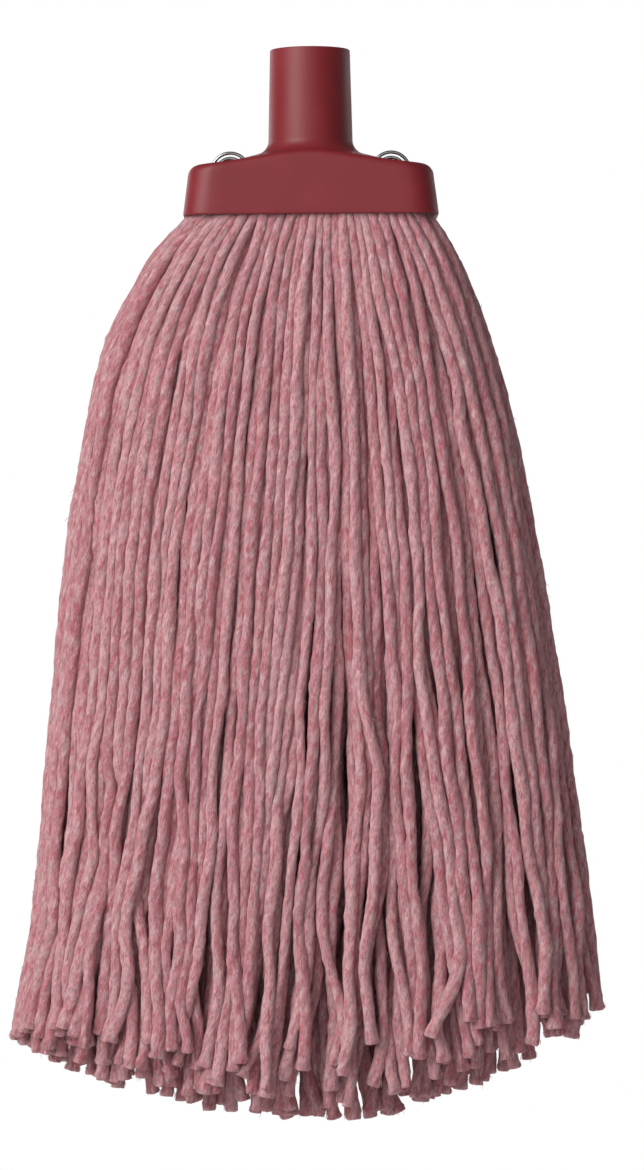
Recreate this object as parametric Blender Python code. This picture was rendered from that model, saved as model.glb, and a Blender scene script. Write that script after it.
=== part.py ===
"""String mop head: a moulded handle socket and hood, the wire lashed through it, and its yarn.

Metres. +Z points up out of the handle socket, +X runs along the hood and -Y is the front.
The origin is the centre of the flat seat at the bottom of the socket, where a handle's end rests.
"""

import math

import bmesh
import bpy

GAP = 0.0004  # clearance between neighbouring pieces

# Handle socket, turned about +Z
SOCKET_TOP = 0.0389  # height of the rim above the seat
SOCKET_R_TOP = 0.0148
SOCKET_R_BASE = 0.0156
BORE_R_RIM = 0.0130  # a 25 mm handle, with draft and the crush ribs' squeeze
BORE_R_SEAT = 0.0127
RIM_CHAMFER, RIM_CHAMFER_DEPTH = 0.0005, 0.0012  # lead-in for the handle
RIM_ROUND = 0.0006
WEB = 0.0030  # floor between the handle and the yarn
RIB_COUNT = 4
RIB_WIDTH, RIB_PROUD = 0.0014, 0.0005
RIB_BOTTOM, RIB_TOP, RIB_RAMP = 0.0010, 0.0300, 0.0040
RIB_FOOT = 0.0012  # how far a rib is buried in the bore's wall

# Hood: a rounded rectangle in plan, flaring towards its open mouth
MOUTH_Z = -0.0230
HOOD_HALF_X, HOOD_HALF_Y = 0.0472, 0.0210  # at the mouth, outside
HOOD_CORNER = 0.0100
FLARE_X, FLARE_Y = 0.130, 0.050  # how much each half narrows per metre of height
WALL = 0.0022
ROOF = 0.0024
LIP_ROUND = 0.0006
INNER_WALL = 0.0100  # straight part of the inner wall, above the mouth
CEILING_R, CEILING_CORNER = 0.0105, 0.0014  # flat middle of the ceiling, and its drop at the wall

# Roof: a fillet round the socket, then a slope that flattens out towards the shoulders
FILLET_R = 0.0055
FILLET_TOP = 0.00557
ROOF_SLOPE, ROOF_CURVE = 0.30, 4.5
EDGE_ROUND_FRONT, EDGE_ROUND_END = 0.0026, 0.0050

# Retaining wire, wound through two slots in each shoulder
WIRE_R = 0.00065
COIL_X, COIL_Z = 0.0298, -0.0061
COIL_R_INNER, COIL_R_OUTER = 0.0052, 0.0070
COIL_HALF_Y = 0.0018
COIL_TURNS = 2.0
SLOT_NEAR, SLOT_FAR, SLOT_HALF_Y = 0.0014, 0.0082, 0.0031  # from the coil's middle
SLOT_BOTTOM, SLOT_TOP = -0.0120, 0.0060

# Yarn: half width and half depth of the hanging bundle, by depth below the mouth
FAN_X, FAN_X_SLOPE, FAN_X_NECK, FAN_X_REACH = 0.0769, 0.105, 0.0303, 0.043
FAN_Y, FAN_Y_SLOPE, FAN_Y_NECK, FAN_Y_REACH = 0.0275, 0.020, 0.0085, 0.030
SECTION_POWER, SECTION_POWER_NECK, SECTION_POWER_REACH = 2.5, 3.5, 0.025
TIP_Z, TIP_RISE, TIP_HALF_X = -0.3570, 0.0330, 0.106  # the tips rise towards both sides
OUTER_TIP_RISE = 0.0100  # the outer rows end above the core
END_TIP_SHARE, END_TIP_RISE = 0.8, 0.0050

# Rows of locks that swing out from the core
ROW_LOCKS = 5
ROW_INNER_Y = 0.0083  # flat face of each row against the core
ROW_KNUCKLE = 0.0051
ROW_HALF_X_TOP, ROW_HALF_X_FRACTION = 0.0420, 0.90
ROW_SEAM_FLARE = 0.168  # widening of the seams between locks, per metre from the hinge
END_KNUCKLE, END_X = 0.0060, 0.0395
END_LEAN = math.radians(5.0)  # slope of the core's sides, and of the end locks that rest on them
END_FLARE_DEPTH = 0.015
CORE_HALF_Y = ROW_INNER_Y - GAP
CORE_LOCKS = 4

# Yarn folded over the wire, inside the hood
FOLD_CLEAR = 0.0012  # to the hood's inner wall, and to the slots
FOLD_CROWN, FOLD_SHOULDER = -WEB - 0.0020, -0.0120
FOLD_EDGE = 0.0015  # chamfer round a shoulder fold's top

ROW_Y = ROW_INNER_Y + ROW_KNUCKLE
ROW_Z = MOUTH_Z - GAP - ROW_KNUCKLE
END_Z = MOUTH_Z - GAP - END_KNUCKLE

SMOOTH_ANGLE = math.radians(35.0)
CRIMSON = (0.235, 0.017, 0.024)
PINK = (0.580, 0.300, 0.320)
ZINC = (0.560, 0.560, 0.550)


def clear_scene():
    for obj in list(bpy.data.objects):
        bpy.data.objects.remove(obj, do_unlink=True)


def make_material(name, color, roughness, metallic):
    material = bpy.data.materials.new(name)
    material.use_nodes = True
    shader = material.node_tree.nodes["Principled BSDF"]
    shader.inputs["Base Color"].default_value = (*color, 1.0)
    shader.inputs["Roughness"].default_value = roughness
    shader.inputs["Metallic"].default_value = metallic
    return material


def add_object(name, points, faces, material, origin=(0.0, 0.0, 0.0)):
    """A mesh object from world points, with its origin where a joint needs it."""
    mesh = bpy.data.meshes.new(name)
    shifted = [tuple(p[i] - origin[i] for i in range(3)) for p in points]
    mesh.from_pydata(shifted, [], faces)
    work = bmesh.new()
    work.from_mesh(mesh)
    bmesh.ops.recalc_face_normals(work, faces=work.faces)
    work.to_mesh(mesh)
    work.free()
    mesh.shade_smooth()
    mesh.set_sharp_from_angle(angle=SMOOTH_ANGLE)
    mesh.materials.append(material)
    obj = bpy.data.objects.new(name, mesh)
    obj.location = origin
    bpy.context.scene.collection.objects.link(obj)
    return obj


def add_box(name, low, high, material):
    corners = [(x, y, z) for x in (low[0], high[0]) for y in (low[1], high[1])
               for z in (low[2], high[2])]
    sides = [(0, 1, 3, 2), (4, 6, 7, 5), (0, 4, 5, 1), (2, 3, 7, 6), (0, 2, 6, 4), (1, 5, 7, 3)]
    return add_object(name, corners, sides, material)


def bridge_rings(count, size):
    """Faces between successive rings of points, each ring closed."""
    faces = []
    for ring in range(count - 1):
        for k in range(size):
            after = (k + 1) % size
            low, high = ring * size, (ring + 1) * size
            faces.append((low + k, low + after, high + after, high + k))
    return faces


def smooth_step(value):
    value = min(1.0, max(0.0, value))
    return value * value * (3 - 2 * value)


# Hood and socket


def hood_directions():
    """Angles round the socket: even along the long faces, closer round the hood's corners."""
    near_end = math.atan2(HOOD_HALF_Y - HOOD_CORNER, HOOD_HALF_X)
    near_front = math.atan2(HOOD_HALF_Y, HOOD_HALF_X - HOOD_CORNER)
    quarter = [near_end * k / 2 for k in range(2)]
    quarter += [near_end + (near_front - near_end) * k / 5 for k in range(5)]
    quarter += [near_front + (math.pi / 2 - near_front) * k / 9 for k in range(9)]
    angles = quarter + [math.pi / 2] + [math.pi - a for a in reversed(quarter[1:])]
    return angles + [a + math.pi for a in angles]


def outline_radius(angle, half_x, half_y, corner):
    """Distance from the axis to a rounded rectangle, along a direction."""
    c, s = abs(math.cos(angle)), abs(math.sin(angle))
    if s * half_x <= c * (half_y - corner):
        return half_x / c
    if c * half_y <= s * (half_x - corner):
        return half_y / s
    middle_x, middle_y = half_x - corner, half_y - corner
    along = c * middle_x + s * middle_y
    return along + math.sqrt(along**2 - middle_x**2 - middle_y**2 + corner**2)


def wall_radius(angle, z, inset=0.0):
    up = z - MOUTH_Z
    half_x = HOOD_HALF_X - FLARE_X * up - inset
    half_y = HOOD_HALF_Y - FLARE_Y * up - inset
    return outline_radius(angle, half_x, half_y, HOOD_CORNER - inset)


FILLET_TURN = math.atan2(1.0, ROOF_SLOPE)
FILLET_END_R = SOCKET_R_BASE + FILLET_R * (1 - math.cos(FILLET_TURN))
FILLET_END_Z = FILLET_TOP - FILLET_R * math.sin(FILLET_TURN)


def roof_height(radius):
    if radius < FILLET_END_R:
        turn = math.acos(1 - (radius - SOCKET_R_BASE) / FILLET_R)
        return FILLET_TOP - FILLET_R * math.sin(turn)
    run = radius - FILLET_END_R
    return FILLET_END_Z - ROOF_SLOPE * run + ROOF_CURVE * run**2


def roof_fall(radius):
    """The roof's angle below the horizontal."""
    if radius < FILLET_END_R:
        return math.pi / 2 - math.acos(1 - (radius - SOCKET_R_BASE) / FILLET_R)
    return math.atan(ROOF_SLOPE - 2 * ROOF_CURVE * (radius - FILLET_END_R))


def edge_round(angle):
    return EDGE_ROUND_FRONT + (EDGE_ROUND_END - EDGE_ROUND_FRONT) * math.cos(angle) ** 4


def roof_edge(angle):
    """Where the rounding to the wall starts: its radius, height and fall."""
    size = edge_round(angle)
    wall = wall_radius(angle, -0.004)
    radius = wall - size
    for _ in range(30):
        fall = roof_fall(radius)
        top = roof_height(radius) - size * math.cos(fall)
        wall = wall_radius(angle, top)
        radius = 0.5 * (radius + wall - size * (1 - math.sin(fall)))
    return radius, roof_height(radius), roof_fall(radius)


def roof_points(angle, steps):
    """From the socket's side, down the fillet and out along the roof, to the edge's rounding."""
    end = roof_edge(angle)[0]
    fillet_turn = math.acos(1 - (min(end, FILLET_END_R) - SOCKET_R_BASE) / FILLET_R)
    fillet = FILLET_R * fillet_turn
    total = fillet + max(0.0, end - FILLET_END_R)
    points = []
    for k in range(steps):
        run = total * (k / steps) ** 1.4
        if run < fillet:
            radius = SOCKET_R_BASE + FILLET_R * (1 - math.cos(run / FILLET_R))
        else:
            radius = FILLET_END_R + run - fillet
        points.append((radius, roof_height(radius)))
    return points


def hood_profile(angle):
    """The housing's section in one direction, from the seat's edge to the ceiling's middle."""
    points = [(BORE_R_SEAT, 0.0)]
    points.append((BORE_R_RIM, SOCKET_TOP - RIM_CHAMFER_DEPTH))
    points.append((BORE_R_RIM + RIM_CHAMFER, SOCKET_TOP))
    for turn in (0.0, math.pi / 4, math.pi / 2):
        out = SOCKET_R_TOP - RIM_ROUND * (1 - math.sin(turn))
        points.append((out, SOCKET_TOP - RIM_ROUND * (1 - math.cos(turn))))
    points += roof_points(angle, 11)
    radius, height, fall = roof_edge(angle)
    size = edge_round(angle)
    for k in range(6):
        turn = fall + (math.pi / 2 - fall) * k / 5
        points.append(
            (
                radius + size * (math.sin(turn) - math.sin(fall)),
                height - size * (math.cos(fall) - math.cos(turn)),
            )
        )
    top = points[-1][1]
    for part in (0.35, 0.7):
        z = top + (MOUTH_Z - top) * part
        points.append((wall_radius(angle, z), z))
    for part in (0.0, 0.5, 1.0):
        turn = math.pi / 2 * part
        inset = LIP_ROUND * (1 - math.cos(turn))
        z = MOUTH_Z + LIP_ROUND * (1 - math.sin(turn))
        points.append((wall_radius(angle, z) - inset, z))
    points.append((wall_radius(angle, MOUTH_Z, WALL), MOUTH_Z))
    inner = wall_radius(angle, MOUTH_Z + INNER_WALL, WALL)
    points.append((inner, MOUTH_Z + INNER_WALL))
    for share, drop in ((1.0, CEILING_CORNER), (0.93, 0.0), (0.80, 0.0), (0.65, 0.0)):
        out = CEILING_R + (inner - CEILING_R) * share
        points.append((out, ceiling_height(out) - drop))
    points.append((CEILING_R, -WEB))
    return points


def ceiling_height(radius):
    if radius < SOCKET_R_BASE:
        return -WEB
    return min(-WEB, roof_height(max(radius, FILLET_END_R)) - ROOF)


def make_housing(material):
    directions = hood_directions()
    profiles = [hood_profile(angle) for angle in directions]
    size = len(directions)
    points = []
    for row in range(len(profiles[0])):
        for angle, profile in zip(directions, profiles):
            radius, z = profile[row]
            points.append((radius * math.cos(angle), radius * math.sin(angle), z))
    rows = len(profiles[0])
    faces = bridge_rings(rows, size)
    faces.append(tuple(range(size)))
    faces.append(tuple((rows - 1) * size + k for k in range(size)))
    housing = add_object("socket_housing", points, faces, material)
    for number in range(RIB_COUNT):
        rib = make_rib(number, material)
        add_boolean(housing, rib, "UNION")
    for side in (-1, 1):
        for which, (near, far) in enumerate(((-SLOT_FAR, -SLOT_NEAR), (SLOT_NEAR, SLOT_FAR))):
            low = (side * COIL_X + near, -SLOT_HALF_Y, SLOT_BOTTOM)
            high = (side * COIL_X + far, SLOT_HALF_Y, SLOT_TOP)
            cutter = add_box(f"slot_cutter_{side}_{which}", low, high, material)
            add_boolean(housing, cutter, "DIFFERENCE")
    return housing


def make_rib(number, material):
    """A crush rib down the bore, its foot buried in the wall, its top end ramped."""
    angle = math.pi / 4 + number * math.tau / RIB_COUNT
    crest, foot = BORE_R_SEAT - RIB_PROUD, BORE_R_SEAT + RIB_FOOT
    section = [(foot, RIB_BOTTOM), (crest, RIB_BOTTOM), (crest, RIB_TOP - RIB_RAMP), (foot, RIB_TOP)]
    points = []
    for across in (-RIB_WIDTH / 2, RIB_WIDTH / 2):
        for radius, z in section:
            x = radius * math.cos(angle) - across * math.sin(angle)
            y = radius * math.sin(angle) + across * math.cos(angle)
            points.append((x, y, z))
    faces = bridge_rings(2, len(section)) + [(3, 2, 1, 0), (4, 5, 6, 7)]
    return add_object(f"rib_cutter_{number}", points, faces, material)


def add_boolean(target, tool, operation):
    tool.hide_render = True
    tool.display_type = "WIRE"
    modifier = target.modifiers.new(tool.name, "BOOLEAN")
    modifier.object = tool
    modifier.operation = operation
    modifier.solver = "EXACT"


# Retaining wire


def coil_points(side):
    """From the run through the yarn, up round the inner turn, round the outer one and back in."""
    points = []
    steps = round(COIL_TURNS * 18)
    for k in range(steps + 1):
        part = k / steps
        turn = math.tau * COIL_TURNS * part
        radius = COIL_R_INNER + (COIL_R_OUTER - COIL_R_INNER) * smooth_step(2 * part - 0.5)
        x = side * (COIL_X + radius * math.sin(turn))
        y = COIL_HALF_Y * (1 - 2 * part)
        points.append((x, y, COIL_Z - radius * math.cos(turn)))
    return points


def make_wire(material):
    left, right = coil_points(-1), coil_points(1)
    run_z = COIL_Z - COIL_R_INNER
    run = [(COIL_X * share, COIL_HALF_Y, run_z) for share in (-0.8, -0.4, 0.0, 0.4, 0.8)]
    route = list(reversed(left)) + run + right
    curve = bpy.data.curves.new("retaining_wire", "CURVE")
    curve.dimensions = "3D"
    curve.bevel_depth = WIRE_R
    curve.bevel_resolution = 2
    curve.use_fill_caps = True
    spline = curve.splines.new("POLY")
    spline.points.add(len(route) - 1)
    for point, place in zip(spline.points, route):
        point.co = (*place, 1.0)
    curve.materials.append(material)
    wire = bpy.data.objects.new("retaining_wire", curve)
    bpy.context.scene.collection.objects.link(wire)
    return wire


# Yarn


def fan_half_x(depth):
    return FAN_X + FAN_X_SLOPE * depth - FAN_X_NECK * math.exp(-depth / FAN_X_REACH)


def fan_half_y(depth):
    return FAN_Y + FAN_Y_SLOPE * depth - FAN_Y_NECK * math.exp(-depth / FAN_Y_REACH)


def section_power(depth):
    return SECTION_POWER + SECTION_POWER_NECK * math.exp(-depth / SECTION_POWER_REACH)


def across_section(share, power):
    """How much of one half size is left at a share of the other."""
    return (1 - min(1.0, abs(share)) ** power) ** (1 / power)


def tip_height(x):
    return TIP_Z + TIP_RISE * (x / TIP_HALF_X) ** 2


def flap(stations, lateral, outer, inner, bottom, knuckle):
    """A hanging lock with a round top on its hinge line.

    Points are (along the hinge, outward, down from the hinge). lateral(station, radius) gives the
    first, from the distance to the hinge line, so that neighbours stay apart as a lock swings.
    """
    arc_steps, rows = 8, 11
    shares = [k / (stations - 1) for k in range(stations)]
    points, faces = [], []

    def place(share, out, down):
        points.append((lateral(share, math.hypot(out, down)), out, down))
        return len(points) - 1

    loops, depths = [], []
    for share in shares:
        last = bottom(share)
        downs = [last * (j / rows) ** 1.35 for j in range(rows + 1)]
        loop = []
        for k in range(arc_steps + 1):
            turn = math.pi * k / arc_steps
            loop.append(place(share, -knuckle * math.cos(turn), -knuckle * math.sin(turn)))
        for down in downs[1:]:
            loop.append(place(share, outer(share, down), down))
        loop.append(place(share, 0.5 * (outer(share, last) + inner(last)), last))
        for down in reversed(downs[1:]):
            loop.append(place(share, inner(down), down))
        loops.append(loop)
        depths.append(downs)
    size = len(loops[0])
    for one, two in zip(loops, loops[1:]):
        for k in range(size):
            after = (k + 1) % size
            faces.append((one[k], one[after], two[after], two[k]))
    for index in (0, stations - 1):
        share, loop, downs = shares[index], loops[index], depths[index]
        centre = [place(share, 0.0, 0.0)]
        for down in downs[1:-1]:
            centre.append(place(share, 0.5 * (outer(share, down) + inner(down)), down))
        centre.append(loop[arc_steps + 1 + rows])
        for k in range(arc_steps):
            faces.append((centre[0], loop[k], loop[k + 1]))
        outside = [loop[arc_steps]] + loop[arc_steps + 1 : arc_steps + 1 + rows]
        inside = [loop[0]] + list(reversed(loop[arc_steps + 2 + rows :]))
        for j in range(rows):
            faces.append((outside[j], outside[j + 1], centre[j + 1], centre[j]))
            faces.append((centre[j], centre[j + 1], inside[j + 1], inside[j]))
    return points, faces


def seam_x(number, radius):
    """Seam between neighbouring locks of a row; the first and last are the row's own sides."""
    share = 2 * number / ROW_LOCKS - 1
    if number in (0, ROW_LOCKS):
        depth = max(0.0, radius + MOUTH_Z - ROW_Z)
        half = max(ROW_HALF_X_TOP, ROW_HALF_X_FRACTION * fan_half_x(depth))
        return math.copysign(half, share)
    return share * (ROW_HALF_X_TOP + ROW_SEAM_FLARE * radius)


def make_row(prefix, front, material):
    """Five locks side by side, hinged on one line along X: front is -1, or +1 at the back."""
    names = ("far_left", "left", "middle", "right", "far_right")
    for number, side_name in enumerate(names):

        def lateral(share, radius, number=number):
            low = seam_x(number, radius) + GAP
            high = seam_x(number + 1, radius) - GAP
            return low + (high - low) * share

        def outer(share, down):
            x = lateral(share, down)
            depth = down + MOUTH_Z - ROW_Z
            half_y = fan_half_y(depth) * across_section(x / fan_half_x(depth), section_power(depth))
            return max(ROW_KNUCKLE, half_y - ROW_Y)

        def bottom(share):
            x = lateral(share, ROW_Z - TIP_Z)
            return ROW_Z - tip_height(x) - OUTER_TIP_RISE

        points, faces = flap(5, lateral, outer, lambda down: -ROW_KNUCKLE, bottom, ROW_KNUCKLE)
        world = [(a, front * (ROW_Y + out), ROW_Z - down) for a, out, down in points]
        origin = (lateral(0.5, 0.0), front * ROW_Y, ROW_Z)
        add_object(f"{prefix}_lock_{side_name}", world, faces, material, origin)


def make_end_lock(name, side, material):
    """The lock at one end of the hood, hinged on a line along Y and resting on the core's side."""

    def lateral(share, radius):
        return CORE_HALF_Y * (2 * share - 1)

    def outer(share, down):
        depth = down + MOUTH_Z - END_Z
        y = lateral(share, down)
        half_x = fan_half_x(depth) * across_section(y / fan_half_y(depth), section_power(depth))
        flare = smooth_step(down / END_FLARE_DEPTH)
        return END_KNUCKLE + (half_x - END_X - END_KNUCKLE) * flare

    def inner(down):
        return -END_KNUCKLE / math.cos(END_LEAN) + down * math.tan(END_LEAN)

    def bottom(share):
        return END_Z - tip_height(TIP_HALF_X * END_TIP_SHARE) - END_TIP_RISE

    points, faces = flap(3, lateral, outer, inner, bottom, END_KNUCKLE)
    world = [(side * (END_X + out), a, END_Z - down) for a, out, down in points]
    add_object(name, world, faces, material, (side * END_X, 0.0, END_Z))


def core_half_x(z):
    """The core's sides run parallel to the end locks' inner faces, and clear of their knuckles."""
    down = max(0.0, END_Z - z)
    return END_X - END_KNUCKLE / math.cos(END_LEAN) - 2 * GAP + down * math.tan(END_LEAN)


def make_core(material):
    """The inner yarn, in blocks side by side between the two rows and the two end locks."""
    rows, columns = 8, 3
    for number in range(CORE_LOCKS):
        points = []
        for row in range(rows + 1):
            ring = []
            for column in range(columns + 1):
                share = 2 * (number + column / columns) / CORE_LOCKS - 1
                last = tip_height(share * core_half_x(TIP_Z))
                z = MOUTH_Z - GAP + (last - MOUTH_Z + GAP) * row / rows
                x = share * core_half_x(z)
                if column == 0 and number > 0:
                    x += GAP / 2
                if column == columns and number < CORE_LOCKS - 1:
                    x -= GAP / 2
                ring.append((x, z))
            points += [(x, -CORE_HALF_Y, z) for x, z in ring]
            points += [(x, CORE_HALF_Y, z) for x, z in reversed(ring)]
        size = 2 * (columns + 1)
        faces = bridge_rings(rows + 1, size)
        for base in (0, rows * size):
            for k in range(columns):
                faces.append((base + k, base + k + 1, base + size - 2 - k, base + size - 1 - k))
        add_object(f"core_lock_{number + 1}", points, faces, material)


def make_middle_fold(material):
    """The yarn folded over the wire under the socket, with the wire's way left through it."""
    half_x, half_y = COIL_X - SLOT_FAR - FOLD_CLEAR, HOOD_HALF_Y - WALL - FOLD_CLEAR
    section = [(half_y, MOUTH_Z + GAP), (half_y, FOLD_SHOULDER)]
    for k in range(1, 10):
        turn = math.pi / 2 * k / 10
        z = FOLD_SHOULDER + (FOLD_CROWN - FOLD_SHOULDER) * math.sin(turn)
        section.append((half_y * math.cos(turn), z))
    section.append((0.0, FOLD_CROWN))
    section += [(-y, z) for y, z in reversed(section[:-1])]
    points = [(x, y, z) for x in (-half_x, half_x) for y, z in section]
    size = len(section)
    faces = bridge_rings(2, size) + [tuple(range(size)), tuple(size + k for k in range(size))]
    fold = add_object("yarn_fold_middle", points, faces, material)
    way = []
    for x in (-2 * half_x, 2 * half_x):
        for k in range(12):
            turn = math.tau * k / 12
            y = COIL_HALF_Y + (WIRE_R + GAP) * math.cos(turn)
            way.append((x, y, COIL_Z - COIL_R_INNER + (WIRE_R + GAP) * math.sin(turn)))
    faces = bridge_rings(2, 12) + [tuple(range(12)), tuple(range(12, 24))]
    add_boolean(fold, add_object("wire_way_cutter", way, faces, material), "DIFFERENCE")


def make_shoulder_fold(name, side, material):
    """The folded yarn that fills the hood beside and under a coil of the wire."""
    top, foot = COIL_Z - COIL_R_OUTER - WIRE_R - 2 * GAP, MOUTH_Z + GAP
    near, far = COIL_X - SLOT_FAR, HOOD_HALF_X - FLARE_X * (top - MOUTH_Z) - WALL - GAP
    half_y = HOOD_HALF_Y - WALL - FOLD_CLEAR
    corner = HOOD_CORNER - WALL
    plan = [(near, -half_y), (far - corner, -half_y)]
    for k in range(1, 6):
        turn = math.pi / 2 * k / 6
        plan.append((far - corner + corner * math.sin(turn), -half_y + corner * (1 - math.cos(turn))))
    plan.append((far, -half_y + corner))
    plan += [(x, -y) for x, y in reversed(plan)]
    size = len(plan)
    points = []
    for z, inset in ((foot, 0.0), (top - FOLD_EDGE, 0.0), (top, FOLD_EDGE)):
        middle = 0.5 * (near + far)
        for x, y in plan:
            shrink_x = 1 - inset / (far - middle)
            shrink_y = 1 - inset / half_y
            points.append((side * (middle + (x - middle) * shrink_x), y * shrink_y, z))
    faces = bridge_rings(3, size) + [tuple(range(size)), tuple(2 * size + k for k in range(size))]
    add_object(name, points, faces, material)


def main():
    clear_scene()
    plastic = make_material("crimson_plastic", CRIMSON, 0.45, 0.0)
    yarn = make_material("pink_yarn", PINK, 0.90, 0.0)
    zinc = make_material("zinc_wire", ZINC, 0.30, 1.0)
    make_housing(plastic)
    make_wire(zinc)
    make_middle_fold(yarn)
    make_shoulder_fold("yarn_fold_left", -1, yarn)
    make_shoulder_fold("yarn_fold_right", 1, yarn)
    make_core(yarn)
    make_row("front", -1, yarn)
    make_row("back", 1, yarn)
    make_end_lock("end_lock_left", -1, yarn)
    make_end_lock("end_lock_right", 1, yarn)


main()
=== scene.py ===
"""The string mop head's looks: moulded housing, galvanised wire and some 300 soft yarn tails."""

import math

import bmesh
import bpy
import numpy as np
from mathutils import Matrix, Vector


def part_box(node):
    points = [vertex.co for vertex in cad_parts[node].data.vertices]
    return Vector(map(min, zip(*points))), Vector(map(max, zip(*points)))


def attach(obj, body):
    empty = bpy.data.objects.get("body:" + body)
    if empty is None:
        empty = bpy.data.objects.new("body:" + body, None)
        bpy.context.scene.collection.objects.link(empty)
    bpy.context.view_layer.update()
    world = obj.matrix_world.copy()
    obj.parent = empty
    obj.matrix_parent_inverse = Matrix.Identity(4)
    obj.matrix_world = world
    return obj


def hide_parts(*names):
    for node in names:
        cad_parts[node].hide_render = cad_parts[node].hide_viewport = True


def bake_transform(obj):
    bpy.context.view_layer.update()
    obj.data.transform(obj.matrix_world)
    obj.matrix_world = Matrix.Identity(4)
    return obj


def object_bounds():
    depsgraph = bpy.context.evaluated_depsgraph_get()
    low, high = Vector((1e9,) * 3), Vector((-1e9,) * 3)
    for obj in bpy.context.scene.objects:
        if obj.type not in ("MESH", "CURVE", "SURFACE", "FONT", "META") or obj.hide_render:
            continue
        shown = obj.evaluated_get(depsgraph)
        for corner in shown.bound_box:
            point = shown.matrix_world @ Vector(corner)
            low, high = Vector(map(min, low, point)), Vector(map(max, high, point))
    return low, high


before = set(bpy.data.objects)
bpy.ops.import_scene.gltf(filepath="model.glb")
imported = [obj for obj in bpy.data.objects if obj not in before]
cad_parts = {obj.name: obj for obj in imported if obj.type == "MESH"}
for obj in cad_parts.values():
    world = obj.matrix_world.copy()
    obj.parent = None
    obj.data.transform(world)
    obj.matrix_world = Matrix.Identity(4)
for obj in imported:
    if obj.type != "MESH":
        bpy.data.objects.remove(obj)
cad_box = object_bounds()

# The frame's own measures
HOUSING_LOW, HOUSING_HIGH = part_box("socket_housing")
CORE_LOW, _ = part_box("core_lock_2")
MOUTH_Z = HOUSING_LOW.z
RIM_Z = HOUSING_HIGH.z
TIP_Z = CORE_LOW.z
HOOD_HALF_X, HOOD_HALF_Y = HOUSING_HIGH.x, HOUSING_HIGH.y

# Camera, at the height of the part's middle
VIEW_DISTANCE = 1.80
VIEW_ASIDE = 0.0031
FRAME_HALF_HEIGHT = 0.2165  # what the frame shows above its middle, at the part
CAMERA_ROLL = math.radians(0.4)
SENSOR = 36.0
FAR_CLIP = 20.0

# Studio
FLOOR_Z, FLOOR_HALF = -0.75, 14.0
FLOOR_COLOR, FLOOR_ROUGHNESS = (0.80, 0.80, 0.80), 0.9
WHITE = (1.0, 1.0, 1.0)
FILL_COLOR, FILL_STRENGTH = (0.93, 0.96, 1.0), 0.125
LIT_POINT = (0.0, 0.0, -0.16)
LIGHTS = {  # where each soft box stands, its two sides and its power
    "key": ((-1.19, -1.23, 0.68), (1.2, 1.4), 31.5),
    "front_fill": ((-0.25, -2.3, 0.35), (1.8, 1.6), 6.6),
    "back_left": ((-1.5, 2.2, 0.1), (1.6, 1.6), 16.5),
    "back_middle": ((0.15, 2.5, 0.2), (1.2, 1.2), 14.0),
    "back_right": ((2.1, 2.0, 0.2), (1.6, 1.6), 9.0),
}

# Colours
CRIMSON, CRIMSON_LIGHT = (0.225, 0.0150, 0.0215), (0.250, 0.0180, 0.0250)
CRIMSON_FLOW = (0.205, 0.0135, 0.0195)
ZINC_LIGHT, ZINC_DARK = (0.56, 0.57, 0.57), (0.42, 0.43, 0.44)
YARN_DEEP, YARN_LIGHT = (0.545, 0.195, 0.222), (0.700, 0.345, 0.365)
YARN_PATCH, YARN_PALE, YARN_RED = (0.730, 0.435, 0.448), (0.725, 0.515, 0.520), (0.495, 0.100, 0.133)
PATCH_SHARE, PALE_SHARE, RED_SHARE = 0.30, 0.70, 0.80
YARN_SHEEN = (1.0, 0.78, 0.80, 1.0)

# Housing
SOCKET_R_TOP, SOCKET_R_BASE = 0.0148, 0.0156
BORE_R_RIM, BORE_R_SEAT = 0.0130, 0.0127
SEAT_ROUND, SEAT_RING = 0.0004, 0.6
LEAD_IN, LEAD_IN_DEPTH = 0.0005, 0.0012  # the bore's bevel at the rim
WEB, WALL, ROOF = 0.0030, 0.0022, 0.0024  # thickness under the seat, at the side and on top
RIM_ROUND, LIP_ROUND, LIP_BEVEL = 0.0006, 0.0006, 0.0003
RIM_STEPS, LIP_STEPS, EDGE_STEPS = 5, 4, 10  # rings over each rounding
HOOD_CORNER = 0.0100
QUARTER_STEPS = (4, 10, 22)  # directions over half an end, a corner and half a face
FLARE_X, FLARE_Y = 0.130, 0.050
FILLET_R, FILLET_TOP = 0.0055, 0.00557
ROOF_SLOPE, ROOF_CURVE = 0.30, 4.5
ROOF_STEPS, ROOF_BUNCHING = 22, 1.3  # rings down the roof, closer at its top
EDGE_ROUND_FRONT, EDGE_ROUND_END = 0.0026, 0.0050
EDGE_START_Z, EDGE_ROUNDS = -0.004, 40  # the search for that rounding: its start and rounds
INNER_WALL_RISE, CEILING_R, CEILING_DROP = 0.010, 0.0105, 0.0014
RIB_COUNT, RIB_WIDTH, RIB_PROUD, RIB_LENGTH = 4, 0.0014, 0.0005, 0.030
RIB_FOOT, RIB_START, RIB_RAMP = 0.0012, 0.0010, 0.004
SLOT_NEAR, SLOT_FAR, SLOT_HALF_Y = 0.0014, 0.0082, 0.0031
SLOT_LOW, SLOT_HIGH, SLOT_ROUND = -0.012, 0.006, 0.0008
SHARP_EDGE, SHARP_EDGE_WIRE = 40.0, 50.0  # degrees
MERGE_DISTANCE = 1e-7

# Retaining wire
WIRE_R, WIRE_AROUND = 0.00065, 18
COIL_X, COIL_Z = 0.0298, -0.0061
COIL_R_INNER, COIL_R_OUTER = 0.0052, 0.0070
COIL_HALF_Y, COIL_TURNS, COIL_STEPS = 0.0018, 2.0, 48
RUN_SHARE, RUN_STEPS = 0.95, 24  # the straight run between the coils

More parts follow.
